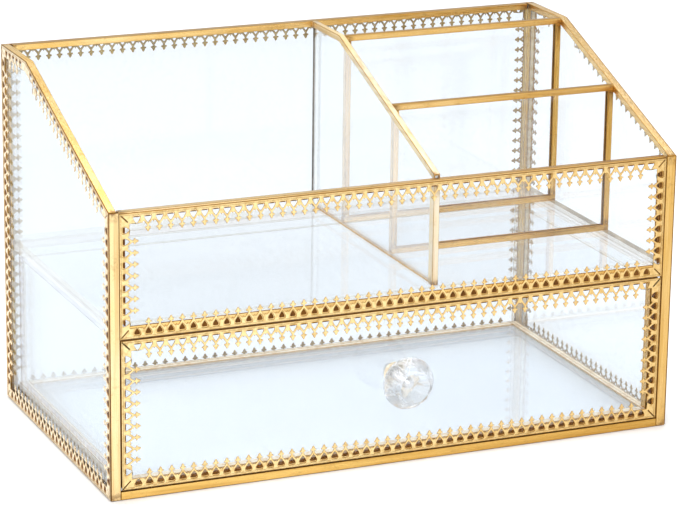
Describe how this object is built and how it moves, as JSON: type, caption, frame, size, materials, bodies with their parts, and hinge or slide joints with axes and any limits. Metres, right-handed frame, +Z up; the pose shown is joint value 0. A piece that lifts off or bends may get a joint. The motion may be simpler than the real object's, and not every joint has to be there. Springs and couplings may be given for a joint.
{
  "type": "jewelry box",
  "caption": "Rectangular brass-framed clear glass jewelry box: open divided tray with sloping sides above a full-width drawer with a crystal knob.",
  "frame": {"origin": "middle of the footprint, on the surface the box stands on", "axes": "+Z up, +X to the right of someone facing the drawer, the drawer opens towards -Y"},
  "size_m": [0.305, 0.1906, 0.191],
  "materials": {
    "brass": "satin, lightly brushed strip with soldered corners",
    "brass_lace": "pressed and pierced strip, satin",
    "clear_glass": "clear polished sheet",
    "crystal": "clear cut crystal, polished facets",
    "steel": "plated screw and nut",
    "clear_plastic": "clear soft washer"
  },
  "bodies": {
    "case": {"front_left_post": "brass", "front_right_post": "brass", "back_left_post": "brass", "back_right_post": "brass", "base_frame": "brass", "base_glass": "clear_glass", "back_top_channel": "brass", "left_top_channel": "brass", "right_top_channel": "brass", "tray_front_top_channel": "brass", "tray_front_left_channel": "brass", "tray_front_right_channel": "brass", "tray_front_bottom_rail": "brass", "back_glass": "clear_glass", "left_glass": "clear_glass", "right_glass": "clear_glass", "tray_front_glass": "clear_glass", "tray_floor_glass": "clear_glass", "tray_support_left": "clear_glass", "tray_support_right": "clear_glass", "tray_support_back": "clear_glass", "divider_glass": "clear_glass", "divider_top_channel": "brass", "divider_front_channel": "brass", "rear_partition_glass": "clear_glass", "rear_partition_top_rail": "brass", "rear_partition_bottom_rail": "brass", "rear_partition_left_post": "brass", "rear_partition_right_post": "brass", "front_partition_glass": "clear_glass", "front_partition_top_rail": "brass", "front_partition_bottom_rail": "brass", "front_partition_left_post": "brass", "front_partition_right_post": "brass", "back_lace": "brass_lace", "left_lace": "brass_lace", "right_lace": "brass_lace", "tray_front_lace": "brass_lace"},
    "drawer": {"drawer_front_glass": "clear_glass", "drawer_front_top_came": "brass", "drawer_front_bottom_came": "brass", "drawer_front_left_came": "brass", "drawer_front_right_came": "brass", "drawer_front_lace": "brass_lace", "drawer_left_glass": "clear_glass", "drawer_right_glass": "clear_glass", "drawer_back_glass": "clear_glass", "drawer_floor_glass": "clear_glass", "drawer_left_channel": "brass", "drawer_right_channel": "brass", "drawer_left_rail": "brass", "drawer_right_rail": "brass", "drawer_front_rail": "brass", "drawer_back_rail": "brass", "knob_head": "crystal", "knob_shank": "crystal", "knob_ferrule": "brass", "knob_screw": "steel", "knob_washer": "clear_plastic", "knob_nut": "steel"}
  },
  "joints": [
    {"name": "drawer_slide", "type": "slide", "parent": "case", "child": "drawer", "axis": [0, -1, 0], "range_m": [0, 0.12]}
  ]
}
